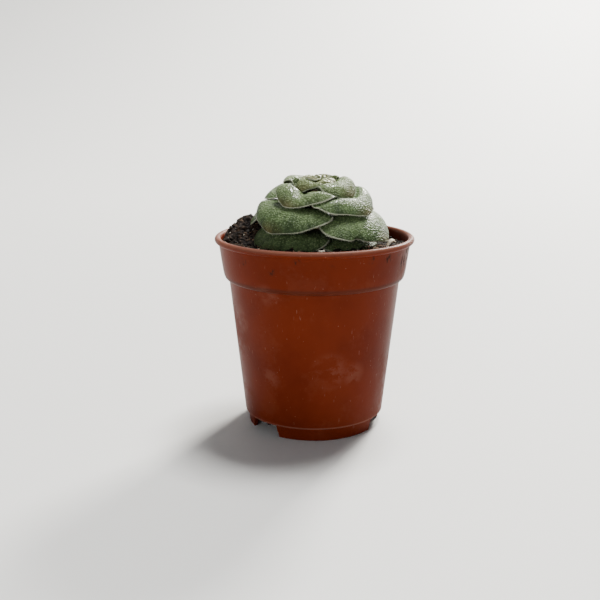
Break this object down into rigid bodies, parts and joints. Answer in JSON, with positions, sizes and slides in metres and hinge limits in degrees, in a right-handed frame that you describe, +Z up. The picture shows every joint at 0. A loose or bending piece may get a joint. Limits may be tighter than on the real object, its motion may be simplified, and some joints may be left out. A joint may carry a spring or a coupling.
{
  "type": "potted crassula",
  "caption": "Domed rosette of thick recurved grey-green leaves in crossed pairs, rooted in dark soil in a small tapered plastic nursery pot with notched feet.",
  "frame": {"origin": "middle of the ring that the pot's feet stand on, on the pot's axis", "axes": "+Z up along the pot's axis; the picture looks along +Y, with +X to its right"},
  "size_m": [0.055, 0.055, 0.0701],
  "materials": {
    "pot_plastic": "thin moulded terracotta-coloured plastic, satin, lightly scuffed and dusty",
    "potting_soil": "loose dark peat soil with fibres and pale grit",
    "stem_and_root": "dry tan corky stem and roots",
    "young_leaf": "yellow-green succulent skin, finely pebbled, soft sheen",
    "leaf": "grey-green succulent skin, finely pebbled, soft sheen, pale hairy margin",
    "dry_leaf": "papery dead leaf"
  },
  "bodies": {
    "root": {"pot": "pot_plastic", "soil": "potting_soil", "stem_and_roots": "stem_and_root", "heart": "young_leaf", "leaf_pair_1_front": "leaf", "leaf_pair_1_back": "leaf", "leaf_pair_2_front": "leaf", "leaf_pair_2_back": "leaf", "leaf_pair_3_front": "leaf", "leaf_pair_3_back": "leaf", "leaf_pair_4_front": "leaf", "leaf_pair_4_back": "leaf", "leaf_pair_5_front": "leaf", "leaf_pair_5_back": "leaf", "leaf_pair_6_front": "leaf", "leaf_pair_6_back": "leaf", "leaf_pair_7_front": "leaf", "leaf_pair_7_back": "leaf", "leaf_pair_8_front": "leaf", "leaf_pair_8_back": "leaf", "withered_scrap": "dry_leaf"}
  },
  "joints": []
}
